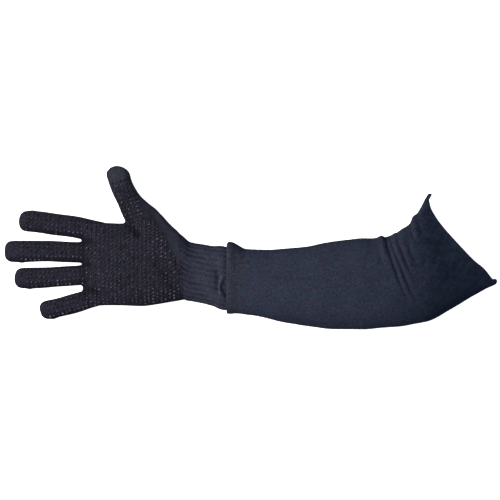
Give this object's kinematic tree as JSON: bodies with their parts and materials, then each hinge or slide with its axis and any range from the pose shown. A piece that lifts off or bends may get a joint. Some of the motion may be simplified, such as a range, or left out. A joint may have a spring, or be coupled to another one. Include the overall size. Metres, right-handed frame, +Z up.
{
  "type": "heat-resistant sleeve with knit glove",
  "caption": "Blue-black knitted arm sleeve with a turned-back wrist hem and a slack open mouth, worn over the ribbed cuff of a dotted knit work glove for the right hand.",
  "frame": {"origin": "on the surface that the sleeve and glove lie on, under the middle of their outline", "axes": "+X from the fingertips to the mouth of the sleeve, +Y to the thumb's side, +Z up, out of the palm"},
  "size_m": [0.5307, 0.1756, 0.0552],
  "materials": {
    "sleeve_knit": "fine plain knit in blue-black heat-resistant yarn, matt with a slight fuzz",
    "rib_knit": "ribbed knit in blue-black yarn, matt",
    "glove_knit": "plain knit in near-black yarn, matt",
    "grip_dots": "small raised black grip dots of soft vinyl printed on the palm side, slightly glossy"
  },
  "bodies": {
    "root": {"index_tube": "glove_knit", "middle_tube": "glove_knit", "ring_tube": "glove_knit", "little_tube": "glove_knit", "thumb_tube": "glove_knit", "hand": "glove_knit", "rib_cuff": "rib_knit", "wrist_hem": "sleeve_knit", "sleeve_body": "sleeve_knit"}
  },
  "joints": []
}
